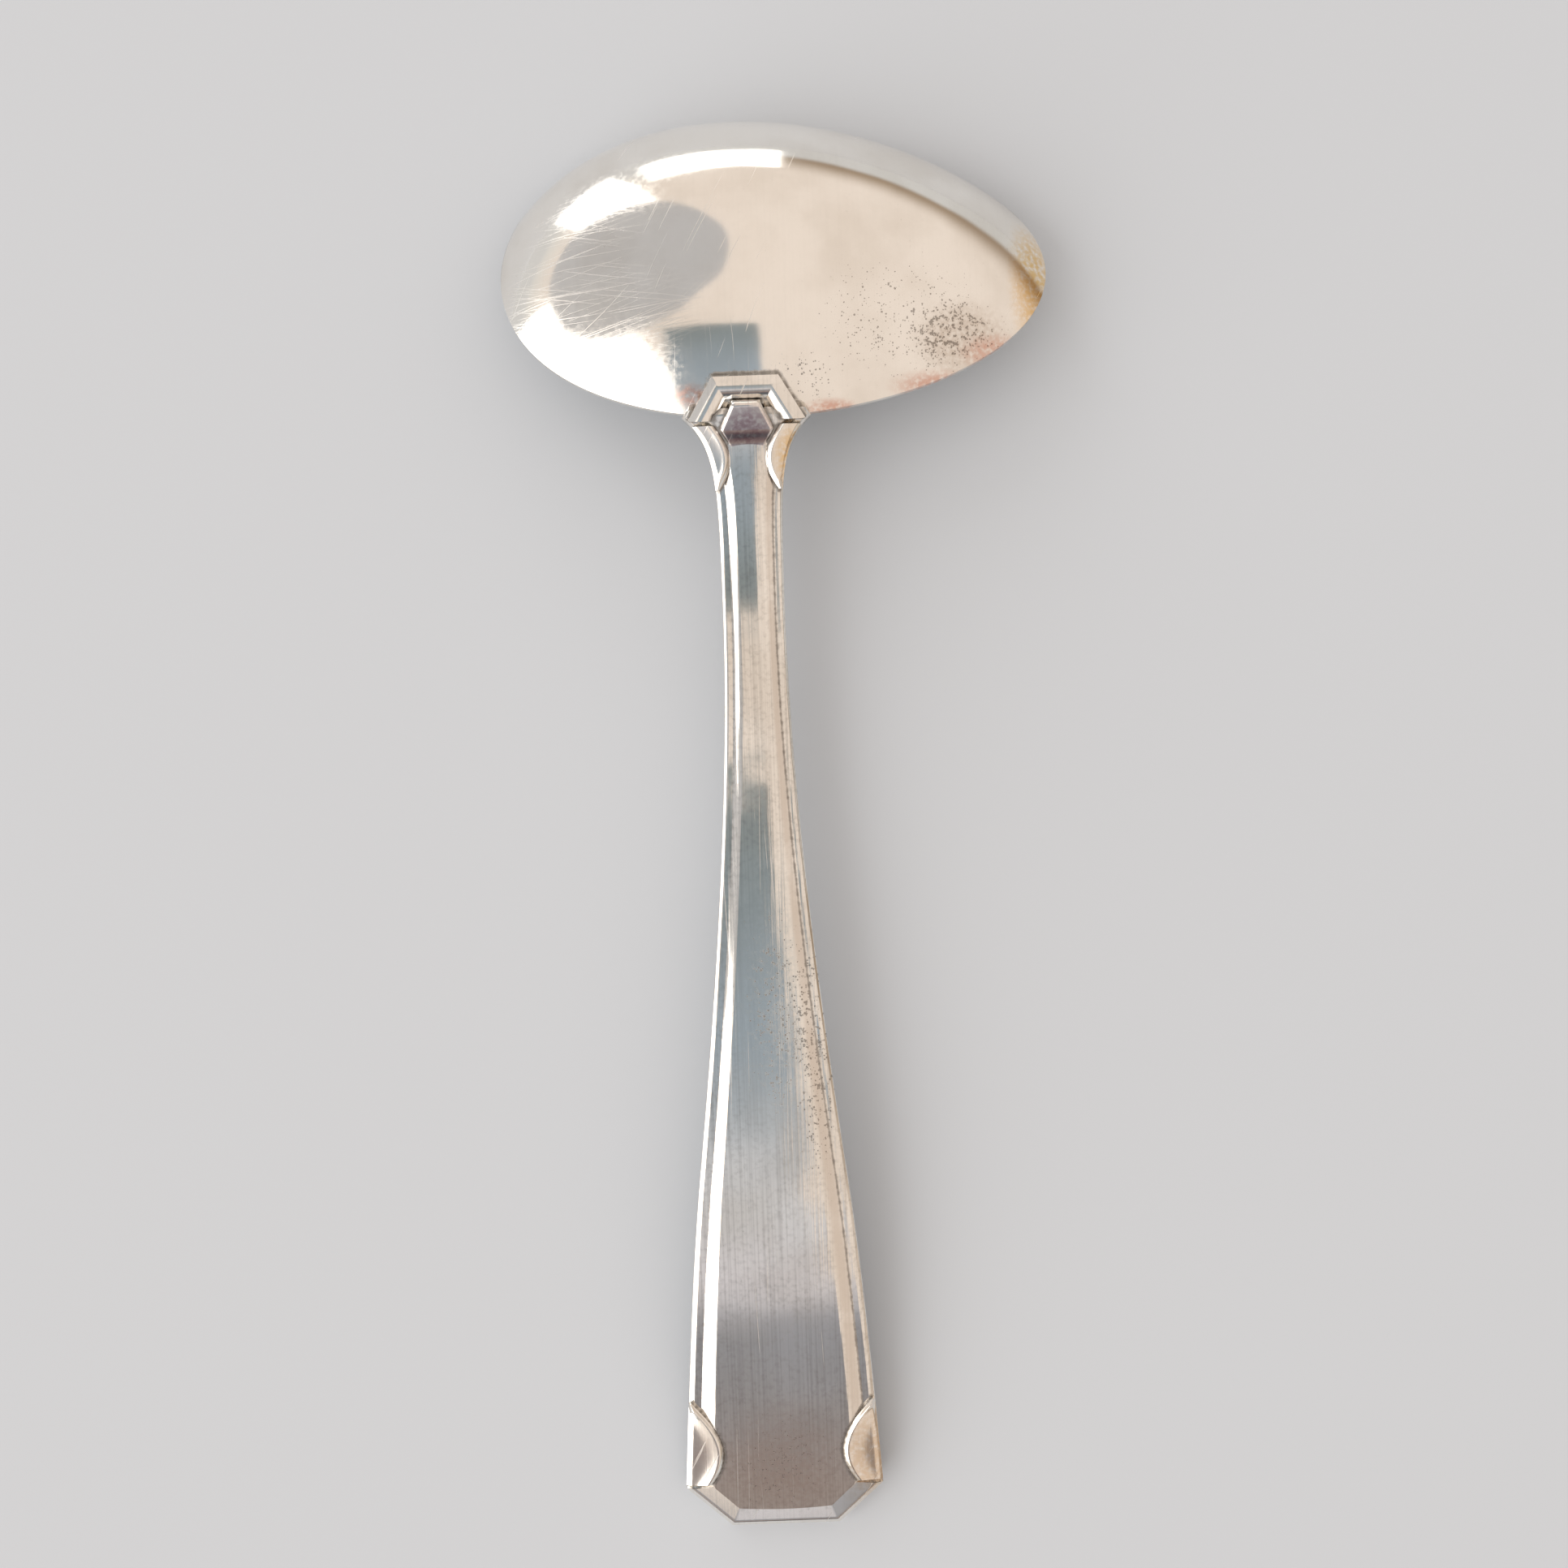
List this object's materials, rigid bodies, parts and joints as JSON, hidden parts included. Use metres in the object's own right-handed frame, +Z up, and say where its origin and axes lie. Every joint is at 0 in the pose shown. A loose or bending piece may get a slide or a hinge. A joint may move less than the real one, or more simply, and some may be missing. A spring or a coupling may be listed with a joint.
{
  "type": "cream ladle",
  "caption": "Silver cream ladle lying face down: oval bowl with a side pouring lip, stepped handle widening to a clipped end, keystone heel moulding and leaf ornaments.",
  "frame": {"origin": "middle of the bounding box, on the ground that the spoon lies on face down", "axes": "+X to the pouring lip, +Y along the handle towards the bowl, +Z up, out of the spoon's back"},
  "size_m": [0.0538, 0.1406, 0.0145],
  "materials": {
    "polished_silver": "polished silver plate with fine scratches and light tarnish",
    "worn_silver": "polished silver plate with dark tarnish along the edges"
  },
  "bodies": {
    "root": {"bowl": "polished_silver", "handle": "polished_silver", "heel_frame": "worn_silver", "heel_boss": "worn_silver", "neck_leaf_back_left": "worn_silver", "neck_leaf_back_right": "worn_silver", "neck_leaf_front_left": "worn_silver", "neck_leaf_front_right": "worn_silver", "tip_leaf_back_left": "worn_silver", "tip_leaf_back_right": "worn_silver", "tip_leaf_front_left": "worn_silver", "tip_leaf_front_right": "worn_silver", "tip_frame_back": "worn_silver", "tip_frame_front": "worn_silver"}
  },
  "joints": []
}
